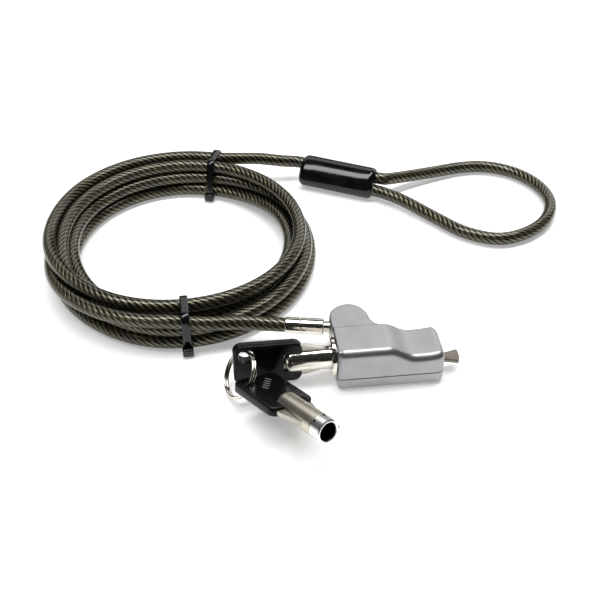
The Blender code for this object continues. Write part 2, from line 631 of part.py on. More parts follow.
def build_keys(key_1_body, ring_body, key_2_body):
    build_key("key_1", key_frame(KEY_1_REAR, Vector((1, 0, 0)), Vector((0, 0, 1))), key_1_body)
    direction, across = key_2_axes()
    rear = key_2_pivot() - direction * BOW_HOLE[0] - across * BOW_HOLE[1]
    build_key("key_2", key_frame(rear, direction, across), key_2_body)
    low, high = RING_RADIUS - RING_RADIAL / 2, RING_RADIUS + RING_RADIAL / 2
    turned("split_ring",
           [(low, RING_AXIAL / 2), (high, RING_AXIAL / 2), (high, -RING_AXIAL / 2), (low, -RING_AXIAL / 2)],
           NICKEL, along(RING_CENTRE, RING_NORMAL), steps=40, parent=ring_body, solid=False)


def key_2_pivot():
    forwards, rise = ring_axes()
    return RING_CENTRE + (forwards * math.cos(RING_TO_KEY_2) + rise * math.sin(RING_TO_KEY_2)) * RING_RADIUS


def key_2_hinge_axis():
    """The ring's own direction where it passes through key 2."""
    forwards, rise = ring_axes()
    return rise * math.cos(RING_TO_KEY_2) - forwards * math.sin(RING_TO_KEY_2)


# ---------------------------------------------------------------- assembly

def build():
    core_body = body_frame("core_axis", (-10, 0, LOCK_Z), (-1, 0, 0))
    key_1_body = body_frame("key_1_slide", (-20, 0, LOCK_Z), (-1, 0, 0))
    ring_body = body_frame("ring_axis", RING_CENTRE, -RING_NORMAL)
    key_2_body = body_frame("key_2_axis", key_2_pivot(), key_2_hinge_axis())
    upper_body = body_frame("jaw_upper_axis", (PIVOT_X, 0, PARTING_Z))
    lower_body = body_frame("jaw_lower_axis", (PIVOT_X, 0, PARTING_Z))
    cable_body = body_frame("cable_swivel_axis", SWIVEL_POINT, -swivel_direction())
    build_head()
    build_lock(core_body)
    build_tip(upper_body, lower_body)
    build_cable(cable_body)
    build_keys(key_1_body, ring_body, key_2_body)


build()
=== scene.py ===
"""A laptop cable lock: a zinc head on a swivel, a coiled steel cable with a crimped loop, and two keys."""
import math

import bmesh
import bpy
import numpy as np
from mathutils import Matrix, Vector
from mathutils.geometry import delaunay_2d_cdt


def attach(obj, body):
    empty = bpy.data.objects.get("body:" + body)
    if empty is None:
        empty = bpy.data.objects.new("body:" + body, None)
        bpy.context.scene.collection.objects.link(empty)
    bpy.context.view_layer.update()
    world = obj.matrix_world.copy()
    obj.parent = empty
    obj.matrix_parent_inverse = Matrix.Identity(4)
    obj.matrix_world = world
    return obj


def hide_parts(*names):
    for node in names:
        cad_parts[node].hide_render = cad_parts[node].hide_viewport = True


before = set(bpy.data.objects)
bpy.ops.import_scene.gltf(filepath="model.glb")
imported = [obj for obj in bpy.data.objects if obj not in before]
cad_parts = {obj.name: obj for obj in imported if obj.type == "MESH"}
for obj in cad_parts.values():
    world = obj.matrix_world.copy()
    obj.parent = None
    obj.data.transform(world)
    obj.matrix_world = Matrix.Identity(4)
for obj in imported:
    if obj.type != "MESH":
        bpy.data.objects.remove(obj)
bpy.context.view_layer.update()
MM = 0.001

# ---------------------------------------------------------------- sizes, in millimetres

CABLE_DIAMETER = 5.0
CABLE_SIDES = 20
CABLE_SPACING = 2.0
HEAD_LENGTH, HEAD_DEPTH, HEAD_HEIGHT = 35.4, 14.8, 15.5
HEAD_LEFT, HEAD_RIGHT = -HEAD_LENGTH / 2, HEAD_LENGTH / 2
LOBE_CENTRE, LOBE_RADIUS, LOBE_HEIGHT, LOBE_BLEND = (-10.9, 13.6), 6.9, 13.8, 7.5
PARTING_Z, PARTING_GAP, WALL = 4.6, 0.15, 1.4
SCOOP_START, SCOOP_RUN, SCOOP_VALLEY_Z = -1.2, 9.0, 11.6
SCOOP_RISE_START, SCOOP_RISE_RUN, SCOOP_END_Z = 10.0, 8.0, 12.3
STEP_START, STEP_RUN = HEAD_DEPTH / 2 - 0.5, 0.55
UPPER_ROLL, FRONT_ROLL, RIGHT_ROLL, LOWER_ROLL = 0.7, 1.9, 1.7, 1.3
PARTING_CHAMFER = 0.12
FRONT_LEFT_CORNER, RIGHT_CORNER = 1.6, 2.6
# Box-shaped hollows of the head by their low and high corners; the last one parts block and lobe on top.
HOLLOWS = {
    "lock_chamber": ((HEAD_LEFT + WALL, -6.0, WALL), (-3.9, 6.0, HEAD_HEIGHT - 1.2)),
    "cam_chamber": ((-4.5, -4.2, WALL + 0.02), (1.3, 4.2, 12.1)),
    "jaw_chamber": ((-1.5, -3.3, WALL + 0.04), (HEAD_RIGHT - WALL, 6.02, SCOOP_VALLEY_Z - 1.6)),
    "jaw_mouth": ((14.0, -3.28, 2.9), (HEAD_RIGHT + 2, 3.3, 5.9)),
    "step_groove": ((HEAD_LEFT + 0.9, 6.35, HEAD_HEIGHT - 0.5), (0.4, 6.8, HEAD_HEIGHT + 1)),
}
LOCK_Z, LOCK_MOUTH_RADIUS = 8.5, 5.8
SCREWS = {"rear": (-4.2, 10.0), "front": (8.5, -5.1)}
SCREW_HOLE_RADIUS, SCREW_HOLE_TOP, SCREW_SEAT_RADIUS, SCREW_SEAT_TOP = 1.15, 9.6, 1.8, 1.5
STUD_RADIUS = 2.1
SWIVEL_CHAMBER_RADIUS = 3.2
SWIVEL_POINT = Vector((-17.7, 15.5, 8.0))
SWIVEL_YAW = math.radians(169.0)
FERRULE_END, FERRULE_GRIP = 14.8, 3.0

# The coil: each row is a plan angle with the distance from the centre and the height of every pass,
# counted from the pass that comes off the tail.
COIL_CENTRE = (-67.7, 73.0)
COIL_STRETCH = 1.066
COIL_STEP = 3
COIL_PASSES = 6
COIL_STATIONS = {
    90: [(49.8, 12.9), (43.9, 12.3), (42.2, 7.4), (42.1, 2.5), (48.6, 2.5), (48.8, 7.6)],
    135: [(49.9, 12.9), (43.4, 12.2), (41.9, 7.3), (41.2, 2.5), (47.4, 2.5), (46.9, 7.8)],
    180: [(47.2, 12.8), (42.8, 11.0), (41.1, 6.6), (40.2, 2.5), (46.0, 2.5), (46.7, 7.8)],
    225: [(45.2, 13.2), (46.0, 7.9), (41.8, 6.6), (41.6, 2.5), (47.2, 2.6), (49.0, 10.2)],
    268: [(42.7, 12.5), (50.1, 7.3), (43.2, 7.5), (43.5, 2.5), (49.9, 2.5), (50.3, 11.9)],
    350: [(46.6, 12.5), (48.9, 7.6), (42.6, 7.6), (43.6, 2.5), (50.0, 2.5)],
}
TAIL_ANGLE = 70
TAIL_PASS = (50.9, 12.6)

SLEEVE_LEFT = Vector((-14.6, 122.0, 6.2))
SLEEVE_RIGHT = Vector((14.6, 107.5, 5.6))
SLEEVE_HALF_WIDTH, SLEEVE_HALF_HEIGHT = 6.8, 4.8
SLEEVE_ROLL = math.radians(35.0)
LEG_OFFSET = 2.9
SLEEVE_EDGE = 2.4
SLEEVE_SIDES = 48
STRAIGHT_RUN = 3.0      # of each leg, outside the sleeve
SLEEVE_INNER = 10.0     # from the sleeve's ends to the points that keep the long leg straight inside
HIDDEN_END = 24.0       # of the loop's end, inside the sleeve
LEAD_ROUTE = [(-47.0, 20.2, 8.8), (-60.0, 19.0, 10.6)]
TAIL_ROUTE = [(-41.3, 124.8, 11.5), (-32.0, 125.8, 10.2), (-22.5, 125.2, 8.8)]
LOOP_ROUTE = [
    (28.0, 112.8, 5.0), (42.0, 118.0, 3.2), (55.8, 121.4, 2.6), (67.4, 120.3, 2.6), (77.6, 114.0, 2.6),
    (84.2, 103.2, 2.6), (85.2, 90.0, 2.6), (79.0, 77.4, 2.6), (68.4, 69.4, 2.6), (56.6, 67.0, 2.6),
    (44.8, 73.0, 2.6), (35.2, 84.2, 2.8), (25.0, 96.2, 3.6),
]
TIE_ANGLES = {"tie_front": -88.0, "tie_back": 70.4}
TIE_WIDTH, TIE_THICKNESS, TIE_EDGE, TIE_STEPS = 2.9, 1.1, 0.3, 72
TIE_CLEARANCE, TIE_LOWEST = 0.05, 0.05
TIE_HEAD, TIE_HEAD_OUT, TIE_HEAD_RISE = (2.8, 3.8, 3.2), 1.3, 1.7

BOW_LENGTH, BOW_WIDTH, BOW_THICKNESS, BOW_CORNER, BOW_EDGE = 22.5, 16.4, 3.2, 3.0, 0.75
BOW_HOLE, BOW_HOLE_RADIUS = (4.35, 4.16), 2.75
KEY_LENGTH, KEY_TUBE_RADIUS, KEY_TUBE_START, KEY_TUBE_SIDES = 39.5, 3.9, 16.5, 56
KEY_BORE_RADIUS, KEY_BORE_DEPTH, KEY_COLLAR_LENGTH = 3.0, 12.0, 4.2
BLADE_HALF_THICKNESS = 0.7
BLADE = [(9.5, -4.0), (20.5, -6.3), (23.5, -6.3), (31.0, -4.2), (32.0, -3.4), (32.0, 3.4), (31.0, 4.2),
         (23.5, 6.3), (20.5, 6.3), (9.5, 4.0)]
KEY_1_REAR = (-51.2, 0.0, 8.5)
KEY_2_YAW, KEY_2_TILT, KEY_2_ROLL = math.radians(-58.6), math.radians(12.1), math.radians(14.9)
MARK_SIZE, MARK_START, MARK_STEP = (2.3, 0.5, 0.5), (4.6, -2.9), 1.6
MARK_ROW, MARK_ALONG, MARK_ACROSS = Vector((0.73, 0.69, 0)), Vector((0.85, -0.53, 0)), Vector((0.53, 0.85, 0))
PIP_RADIUS, PIP_HALF_HEIGHT, PIP_SIDES, PIP_SETBACK = 0.42, 0.12, 16, 3.6
PIP_ANGLES = (100, 45, 150)
LUG_SIZE = (1.5, 1.4, 1.4)
RING_CENTRE = Vector((-49.17, -4.2, 7.71))
RING_NORMAL = Vector((0.799, 0.230, -0.556)).normalized()
RING_RADIUS = 7.6
RING_TO_KEY_2 = math.radians(5.2)
RING_WIRE_RADIUS, RING_HALF_PITCH = 0.46, 0.465
RING_JOGGLE, RING_JOGGLE_SPAN = math.radians(150.0), 0.7     # radians of the ring

# The floor and the camera's place are in metres.
FLOOR_HALF, FLOOR_Z = 3.0, -0.0004
CAMERA_PLACE = Vector((-0.05514, -0.22774, 0.219))
CAMERA_RIGHT, CAMERA_UP = Vector((0.9936, -0.1129, 0.0)), Vector((0.0710, 0.6253, 0.7771))
CAMERA_LENS = 57.0


# ---------------------------------------------------------------- materials

class Shader:
    """A node material that is built up a node at a time."""

    def __init__(self, name):
        self.material = bpy.data.materials.new(name)
        self.material.use_nodes = True
        self.tree = self.material.node_tree
        self.surface = self.tree.nodes["Principled BSDF"]

    def node(self, kind, inputs=None, **settings):
        made = self.tree.nodes.new("ShaderNode" + kind)
        for key, value in settings.items():
            setattr(made, key, value)
        for key, value in (inputs or {}).items():
            self.put(made.inputs[key], value)
        return made

    def put(self, socket, value):
        if isinstance(value, bpy.types.NodeSocket):
            self.tree.links.new(value, socket)
        else:
            socket.default_value = value

    def set(self, **values):
        for key, value in values.items():
            self.put(self.surface.inputs[key.replace("_", " ")], value)

    def math(self, operation, a, b=0.0, clamp=False):
        return self.node("Math", {0: a, 1: b}, operation=operation, use_clamp=clamp).outputs[0]

    def place(self, stretch=(1, 1, 1)):
        """Object coordinates, in metres, stretched along the axes."""
        coordinates = self.node("TexCoord").outputs["Object"]
        return self.node("Mapping", {"Vector": coordinates, "Scale": stretch}).outputs[0]

    def noise(self, scale, detail=3.0, vector=None):
        """Noise whose cells are about 1/scale metres."""
        inputs = {"Vector": vector or self.place(), "Scale": scale, "Detail": detail}
        return self.node("TexNoise", inputs).outputs["Fac"]

    def spread(self, value, low, high, from_low=0.3, from_high=0.7):
        """A value moved from one range, by default the usual range of noise, to another."""
        return self.node("MapRange", {"Value": value, "From Min": from_low, "From Max": from_high,
                                      "To Min": low, "To Max": high}).outputs[0]

    def mix(self, factor, a, b):
        made = self.node("Mix", {"Factor": factor}, data_type="RGBA")
        self.put(made.inputs[6], a)
        self.put(made.inputs[7], b)
        return made.outputs[2]

    def bump(self, height, depth):
        """Bump from a height, as deep as depth in millimetres."""
        return self.node("Bump", {"Height": height, "Distance": depth * MM}).outputs[0]


def rgb(r, g, b):
    return (r, g, b, 1.0)


def zinc():
    """Satin-plated die casting: a fine even grain with faint cloudiness."""
    s = Shader("satin_zinc_finish")
    grain = s.noise(9000.0, 4.0)
    cloud = s.noise(140.0, 2.0)
    colour = s.mix(s.spread(cloud, 0, 1), rgb(0.335, 0.335, 0.342), rgb(0.375, 0.375, 0.382))
    s.set(Metallic=0.92, Base_Color=colour, Roughness=s.spread(grain, 0.34, 0.44),
          Normal=s.bump(grain, 0.006))
    return s.material


def plated(name, light, dark, low, high, stretch=(1, 1, 1)):
    """Bright plating with fine turning or polishing marks; low and high bound its roughness."""
    s = Shader(name)
    marks = s.noise(1500.0, 3.0, s.place(stretch))
    stain = s.noise(260.0, 3.0)
    s.set(Metallic=1.0, Base_Color=s.mix(s.spread(stain, 0, 1, 0.35, 0.65), rgb(*light), rgb(*dark)),
          Roughness=s.spread(marks, low, high), Normal=s.bump(marks, 0.003))
    return s.material


def moulded(name, colour, low, high, grain=2500.0, depth=0.01, shine=0.3):
    """Moulded plastic with a faint texture and rubbed patches; low and high bound its roughness."""
    s = Shader(name)
    texture = s.noise(grain, 2.0)
    rubbed = s.noise(180.0, 3.0)
    lighter = tuple(c * 1.8 + 0.002 for c in colour)
    s.set(Base_Color=s.mix(s.spread(rubbed, 0, 1, 0.4, 0.75), rgb(*colour), rgb(*lighter)),
          Roughness=s.spread(rubbed, low, high), Normal=s.bump(texture, depth), Specular_IOR_Level=shine)
    return s.material


STRANDS = 7
LAY_PITCH = 17.6        # mm of cable for one turn of a strand
WIRES = 2               # wires seen across one strand
WIRE_SLANT = 1.5        # how much faster than its strand a wire turns
WIRE_RELIEF = 0.07      # height of a wire, against a strand's


def jacket():
    """Clear smoke-brown sheath over a lay of steel strands: the coat is the sheath, and the base colour holds
    painted shade between the strands.
    """
    s = Shader("smoke_jacket_over_strands")
    lay = s.node("Attribute", attribute_name="lay").outputs["Vector"]
    split = s.node("SeparateXYZ", {"Vector": lay}).outputs
    angle = s.math("ARCTAN2", split[1], split[0])
    turns = s.math("DIVIDE", angle, 2 * math.pi)
    along = s.math("DIVIDE", split[2], LAY_PITCH * MM)
    strand = s.math("FRACT", s.math("MULTIPLY", s.math("SUBTRACT", along, turns), float(STRANDS)))
    centred = s.math("SUBTRACT", s.math("MULTIPLY", strand, 2.0), 1.0)
    crown = s.math("SQRT", s.math("SUBTRACT", 1.0, s.math("MULTIPLY", centred, centred), clamp=True))
    wire_phase = s.math("ADD", s.math("MULTIPLY", strand, float(WIRES)),
                        s.math("MULTIPLY", along, STRANDS * WIRE_SLANT))
    wire = s.math("ABSOLUTE", s.math("SINE", s.math("MULTIPLY", wire_phase, math.pi)))
    height = s.math("ADD", crown, s.math("MULTIPLY", wire, WIRE_RELIEF))
    smoke = s.noise(220.0, 3.0)
    steel = s.mix(s.spread(smoke, 0, 1), rgb(0.42, 0.40, 0.30), rgb(0.24, 0.235, 0.19))
    # painted shade: the base colour runs from steel on each strand's crown to near-black on its flanks and in
    # the gaps between strands and wires
    painted_gap_shade = s.spread(height, 0.0, 1.0, 0.55, 1.05)
    s.set(Metallic=0.9, Base_Color=s.mix(painted_gap_shade, rgb(0.006, 0.0055, 0.005), steel),
          Roughness=s.spread(smoke, 0.30, 0.38), Normal=s.bump(height, 0.6),
          Coat_Weight=0.9, Coat_Roughness=0.12, Coat_IOR=1.35, Coat_Tint=rgb(0.36, 0.34, 0.28))
    return s.material


ZINC = zinc()
NICKEL = plated("bright_nickel_finish", (0.78, 0.745, 0.68), (0.70, 0.66, 0.59), 0.10, 0.17)
STEEL = plated("ground_steel_finish", (0.52, 0.49, 0.45), (0.44, 0.41, 0.37), 0.28, 0.42, (6, 60, 60))
SATIN_NICKEL = plated("satin_nickel_finish", (0.66, 0.62, 0.53), (0.58, 0.54, 0.45), 0.30, 0.42, (60, 6, 6))
BRASS = plated("pin_brass_finish", (0.72, 0.52, 0.22), (0.60, 0.42, 0.17), 0.20, 0.32)
GLOSS_BLACK = moulded("gloss_black_finish", (0.0035, 0.0035, 0.004), 0.09, 0.14, 2500.0, 0.006, 0.4)
BOW_BLACK = moulded("bow_black_finish", (0.0035, 0.0035, 0.004), 0.17, 0.26, 4200.0, 0.01, 0.2)
# painted highlight: the raised marks are grey, far lighter than the black bow, to stand in for the glints on
# their edges
MARK_PAINTED_HIGHLIGHT = moulded("raised_mark_painted_highlight", (0.10, 0.10, 0.10), 0.20, 0.30)
COLLAR = plated("turned_collar_finish", (0.88, 0.90, 0.88), (0.78, 0.80, 0.77), 0.26, 0.36, (40, 4, 4))
# painted shade: near-black metal for the hollow bore in each key's end and for key 2's pips, standing in for
# the shade in those hollows
BORE_PAINTED_SHADE = plated("bore_painted_shade", (0.045, 0.040, 0.035), (0.030, 0.028, 0.026), 0.5, 0.6)
JAW_STEEL = plated("jaw_steel_finish", (0.21, 0.19, 0.165), (0.16, 0.14, 0.12), 0.26, 0.38, (6, 60, 60))
JACKET = jacket()

SLOT_FINISH = {"satin_zinc": ZINC, "nickel_plate": NICKEL, "plain_steel": STEEL, "pin_brass": BRASS,
               "smoke_jacket": JACKET, "black_plastic": GLOSS_BLACK}


def finish_cad_nodes():
    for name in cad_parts:
        node = bpy.data.objects[name]
        for slot in node.material_slots:
            finish = SLOT_FINISH[slot.material.name.split(".")[0]]
            slot.material = JAW_STEEL if name in ("jaw_upper", "jaw_lower") else finish


# ---------------------------------------------------------------- mesh helpers

def new_object(name, vertices, faces, material, smooth=True):
    """A mesh object from vertices in metres."""
    mesh = bpy.data.meshes.new(name)
    mesh.from_pydata([tuple(v) for v in vertices], [], faces)
    mesh.validate()
    mesh.update()
    for polygon in mesh.polygons:
        polygon.use_smooth = smooth
    made = bpy.data.objects.new(name, mesh)
    bpy.context.scene.collection.objects.link(made)
    mesh.materials.append(material)
    return made


def grid_faces(rows, columns, closed_rows=False):
    """Faces between rows of points, where each row is a closed ring."""
    faces = []
    for i in range(rows if closed_rows else rows - 1):
        for j in range(columns):
            a, b = i * columns + j, i * columns + (j + 1) % columns
            c, d = ((i + 1) % rows) * columns + (j + 1) % columns, ((i + 1) % rows) * columns + j
            faces.append((a, b, c, d))
    return faces


def lofted(name, rings, material):
    """A closed skin over rings of points in millimetres."""
    count = len(rings[0])
    faces = grid_faces(len(rings), count)
    faces += [tuple(range(count))[::-1], tuple(range((len(rings) - 1) * count, len(rings) * count))]
    return new_object(name, [Vector(p) * MM for ring in rings for p in ring], faces, material)


def circle(count):
    """Angles spread evenly round a circle."""
    return [2 * math.pi * i / count for i in range(count)]


def outward_normals(outline):
    """Directions out of a closed anticlockwise outline in the plane."""
    ahead = np.roll(outline, -1, axis=0) - np.roll(outline, 1, axis=0)
    normals = np.stack([ahead[:, 1], -ahead[:, 0]], axis=1)
    return normals / np.linalg.norm(normals, axis=1)[:, None]


def catmull_rom(points, spacing):
    """A smooth curve through points, sampled about every spacing."""
    route = [Vector(p) for p in points]
    ends = [route[0] * 2 - route[1], *route, route[-1] * 2 - route[-2]]
    dense = []
    for a, b, c, d in zip(ends, ends[1:], ends[2:], ends[3:]):
        count = max(1, round((c - b).length / spacing))
        for i in range(count):
            t = i / count
            dense.append(((b * 2) + (c - a) * t + (a * 2 - b * 5 + c * 4 - d) * t * t
                          + (b * 3 - a - c * 3 + d) * t ** 3) / 2)
    return dense + [route[-1]]


# ---------------------------------------------------------------- the cable's path

def coil_sections():
    """Angle, distance from the coil's centre and height along the coil, before the turns settle."""
    rows = [(TAIL_ANGLE, *TAIL_PASS)]
    for turn in range(COIL_PASSES):
        rows += [(angle + 360 * turn, *row[turn]) for angle, row in COIL_STATIONS.items() if turn < len(row)]
    knots = np.array(sorted(rows))
    angle = np.arange(knots[0, 0], knots[-1, 0], COIL_STEP)
    index = np.clip(np.searchsorted(knots[:, 0], angle, side="right") - 1, 0, len(knots) - 2)
    t = (angle - knots[index, 0]) / (knots[index + 1, 0] - knots[index, 0])
    t = t * t * (3 - 2 * t)
    radius = knots[index, 1] * (1 - t) + knots[index + 1, 1] * t
    height = knots[index, 2] * (1 - t) + knots[index + 1, 2] * t
    return angle, radius, height


def settle(wanted_radius, wanted_height, rounds=400):
    """Push turns that overlap apart, keep them on the table, and smooth them along their length."""
    radius, height = wanted_radius.copy(), wanted_height.copy()
    count, turn = len(radius), 360 // COIL_STEP
    for _ in range(rounds):
        push_radius, push_height = np.zeros(count), np.zeros(count)
        for lag in range(turn, count, turn):
            a, b = slice(0, count - lag), slice(lag, count)
            gap_radius, gap_height = radius[b] - radius[a], height[b] - height[a]
            distance = np.hypot(gap_radius, gap_height)
            push = np.clip(CABLE_DIAMETER * 1.01 - distance, 0, None) / 2 / distance
            push_radius[a] -= gap_radius * push
            push_radius[b] += gap_radius * push
            push_height[a] -= gap_height * push
            push_height[b] += gap_height * push
        radius += 0.5 * push_radius + 0.01 * (wanted_radius - radius)
        height += 0.5 * push_height + 0.01 * (wanted_height - height)
        for values in (radius, height):
            values[1:-1] += 0.25 * (values[:-2] + values[2:] - 2 * values[1:-1])
        np.maximum(height, CABLE_DIAMETER / 2, out=height)
    return radius, height


def coil_point(angle_degrees, radius, height):
    a = math.radians(angle_degrees)
    return Vector((COIL_CENTRE[0] + radius * math.cos(a),
                   COIL_CENTRE[1] + COIL_STRETCH * radius * math.sin(a), height))


COIL_ANGLE, *COIL_WANTED = coil_sections()
COIL_RADIUS, COIL_HEIGHT = settle(*COIL_WANTED)


def swivel_direction():
    return Vector((math.cos(SWIVEL_YAW), math.sin(SWIVEL_YAW), 0.0))


def sleeve_side(axis):
    """Across the sleeve, from its front leg to its rear one, which lies higher."""
    level = Vector((0, 0, 1)).cross(axis)
    return level * math.cos(SLEEVE_ROLL) + Vector((0, 0, 1)) * math.sin(SLEEVE_ROLL)


def cable_path():
    """Centre of the whole cable in millimetres, from the ferrule to its end in the sleeve."""
    start = SWIVEL_POINT + swivel_direction() * (FERRULE_END - FERRULE_GRIP)
    lead = [start, start + swivel_direction() * FERRULE_GRIP, start + swivel_direction() * (3 * FERRULE_GRIP),
            *LEAD_ROUTE]
    coil = [coil_point(*section) for section in zip(COIL_ANGLE, COIL_RADIUS, COIL_HEIGHT)][::-1]
    axis = (SLEEVE_RIGHT - SLEEVE_LEFT).normalized()
    side = sleeve_side(axis) * LEG_OFFSET
    back_in, back_out, front_out = SLEEVE_LEFT + side, SLEEVE_RIGHT + side, SLEEVE_RIGHT - side
    straight = axis * STRAIGHT_RUN
    through = [back_in - straight, back_in, back_in + axis * SLEEVE_INNER,
               back_out - axis * SLEEVE_INNER, back_out, back_out + straight]
    end = [front_out + straight, front_out, front_out - axis * (HIDDEN_END / 2),
           front_out - axis * HIDDEN_END]
    points = [*lead, *coil, *TAIL_ROUTE, *through, *LOOP_ROUTE, *end]
    return even_spacing(catmull_rom(points, CABLE_SPACING), CABLE_SPACING)


def even_spacing(points, spacing):
    """The same line with points about spacing apart."""
    route = np.array([tuple(p) for p in points])
    steps = np.linalg.norm(np.diff(route, axis=0), axis=1)
    run = np.concatenate([[0.0], np.cumsum(steps)])
    at = np.linspace(0.0, run[-1], round(run[-1] / spacing) + 1)
    return [Vector(p) for p in np.stack([np.interp(at, run, route[:, k]) for k in range(3)], axis=1)]


def tube_frames(path):
    """Two directions across the line at every point, carried along without twist."""
    tangents = [(b - a).normalized() for a, b in zip([path[0], *path[:-1]], [*path[1:], path[-1]])]
    tangents[0] = (path[1] - path[0]).normalized()
    side = tangents[0].orthogonal().normalized()
    frames = []
    for tangent in tangents:
        side = (side - tangent * side.dot(tangent)).normalized()
        frames.append((side, tangent.cross(side)))
    return frames


def build_cable():
    """The cable as one tube; its lay attribute says how far round and along it each point is."""
    path = cable_path()
    radius = CABLE_DIAMETER / 2
    rings, lay, run = [], [], 0.0
    for i, (centre, (side, up)) in enumerate(zip(path, tube_frames(path))):
        run += (centre - path[i - 1]).length if i else 0.0
        rings.append([centre + (side * math.cos(a) + up * math.sin(a)) * radius for a in circle(CABLE_SIDES)])
        lay += [value for a in circle(CABLE_SIDES) for value in (math.cos(a), math.sin(a), run * MM)]
    cable = lofted("security_cable", rings, JACKET)
    cable.data.attributes.new("lay", "FLOAT_VECTOR", "POINT").data.foreach_set("vector", lay)
    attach(cable, "cable")
    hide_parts("cable_lead", "cable_coil", "cable_tail", "cable_loop")
    return cable, path, run


# ---------------------------------------------------------------- ties round the bundle

def hull(points):
    """Convex hull of points in the plane, anticlockwise."""
    points = sorted(points)

    def half(row):
        chain = []
        for p in row:
            while len(chain) > 1 and ((chain[-1][0] - chain[-2][0]) * (p[1] - chain[-2][1])
                                      - (chain[-1][1] - chain[-2][1]) * (p[0] - chain[-2][0])) <= 0:
                chain.pop()
            chain.append(p)
        return chain[:-1]
    return half(points) + half(points[::-1])


def bundle_outline(angle_degrees, clearance):
    """Outline of the strands where a tie crosses them: distance from the centre and height."""
    a = math.radians(angle_degrees)
    stretch = math.hypot(math.cos(a), COIL_STRETCH * math.sin(a))
    points = []
    for turn in range(COIL_PASSES):
        place = angle_degrees % 360 + 360 * turn
        if not COIL_ANGLE[0] - COIL_STEP <= place <= COIL_ANGLE[-1] + 6 * COIL_STEP:
            continue
        radius = np.interp(place, COIL_ANGLE, COIL_RADIUS) * stretch
        height = np.interp(place, COIL_ANGLE, COIL_HEIGHT)
        reach = CABLE_DIAMETER / 2 + clearance
        points += [(radius + reach * math.cos(t), height + reach * math.sin(t)) for t in circle(24)]
    return hull(points)


def resample_loop(loop, count):
    """The same closed line with count points, evenly apart."""
    closed = np.array([*loop, loop[0]])
    run = np.concatenate([[0.0], np.cumsum(np.linalg.norm(np.diff(closed, axis=0), axis=1))])
    at = np.linspace(0.0, run[-1], count, endpoint=False)
    return np.stack([np.interp(at, run, closed[:, k]) for k in range(2)], axis=1)


def build_tie(name, angle_degrees, head_side):
    """A nylon tie pulled round the strands, with its square head low outside (1) or inside (-1) the coil."""
    a = math.radians(angle_degrees)
    radial = Vector((math.cos(a), COIL_STRETCH * math.sin(a), 0.0)).normalized()
    tangent = Vector((0, 0, 1)).cross(radial)
    centre = Vector((*COIL_CENTRE, 0.0))
    inner = resample_loop(bundle_outline(angle_degrees, TIE_CLEARANCE), TIE_STEPS)
    half, low_edge = TIE_WIDTH / 2, TIE_THICKNESS - TIE_EDGE
    profile = [(-half, 0.0), (-half, low_edge), (-half + TIE_EDGE, TIE_THICKNESS),
               (half - TIE_EDGE, TIE_THICKNESS), (half, low_edge), (half, 0.0)]
    vertices = []
    for base, away in zip(inner, outward_normals(inner)):
        for across, lift in profile:
            at = base + away * lift
            vertices.append((centre + radial * at[0] + Vector((0, 0, 1)) * max(at[1], TIE_LOWEST)
                             + tangent * across) * MM)
    faces = grid_faces(TIE_STEPS, len(profile), closed_rows=True)
    tie = new_object(name + "_band", vertices, faces, GLOSS_BLACK)
    low = inner[:, 1].min()
    edge = inner[:, 0].max() if head_side > 0 else inner[:, 0].min()
    head = rounded_box(name + "_head", TIE_HEAD, 0.6, GLOSS_BLACK)
    head.matrix_world = Matrix.Translation(
        (centre + radial * (edge + head_side * TIE_HEAD_OUT) + Vector((0, 0, low + TIE_HEAD_RISE))) * MM
    ) @ Matrix((radial, tangent, (0, 0, 1))).transposed().to_4x4()
    for piece in (tie, head):
        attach(piece, "cable")
    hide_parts(name)
    return [tie, head]


def rounded_box(name, size, bevel, material):
    """A box with rounded edges, centred on its origin."""
    mesh = bmesh.new()
    bmesh.ops.create_cube(mesh, size=1.0)
    bmesh.ops.scale(mesh, vec=Vector(size) * MM, verts=mesh.verts)
    bmesh.ops.bevel(mesh, geom=mesh.edges[:], offset=bevel * MM, segments=3, affect="EDGES", profile=0.5)
    data = bpy.data.meshes.new(name)
    mesh.to_mesh(data)
    mesh.free()
    for polygon in data.polygons:
        polygon.use_smooth = True
    data.materials.append(material)
    made = bpy.data.objects.new(name, data)
    bpy.context.scene.collection.objects.link(made)
    return made


# ---------------------------------------------------------------- crimp sleeve

def build_sleeve():
    """The moulded sleeve over the crimp: an oval bar with rolled ends."""
    axis = (SLEEVE_RIGHT - SLEEVE_LEFT).normalized()
    side = sleeve_side(axis)
    up = axis.cross(side)
    length = (SLEEVE_RIGHT - SLEEVE_LEFT).length
    turns = [math.pi / 2 * k / 8 for k in range(9)]
    left_end = [(SLEEVE_EDGE * (1 - math.cos(t)), SLEEVE_EDGE * (1 - math.sin(t))) for t in turns]
    body = [(x, 0.0) for x in np.linspace(SLEEVE_EDGE, length - SLEEVE_EDGE, 8)[1:]]
    right_end = [(length - SLEEVE_EDGE + SLEEVE_EDGE * math.sin(t), SLEEVE_EDGE * (1 - math.cos(t)))
                 for t in turns[1:]]
    rings = []
    for place, inset in left_end + body + right_end:
        half_width, half_height = SLEEVE_HALF_WIDTH - inset, SLEEVE_HALF_HEIGHT - inset
        rings.append([SLEEVE_LEFT + axis * place + side * (half_width * math.cos(a))
                      + up * (half_height * math.sin(a)) for a in circle(SLEEVE_SIDES)])
    sleeve = lofted("crimp_sleeve", rings, GLOSS_BLACK)
    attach(sleeve, "cable")
    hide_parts("loop_sleeve")
    return sleeve


# ---------------------------------------------------------------- head covers

def arc(centre, radius, start, end, count):
    """Points of an arc without its last one; the angles are in degrees."""
    angles = [math.radians(start + (end - start) * i / count) for i in range(count)]
    return [(centre[0] + radius * math.cos(a), centre[1] + radius * math.sin(a)) for a in angles]


def line(a, b, count):
    """Points of a straight line without its last one."""
    return [(a[0] + (b[0] - a[0]) * i / count, a[1] + (b[1] - a[1]) * i / count) for i in range(count)]


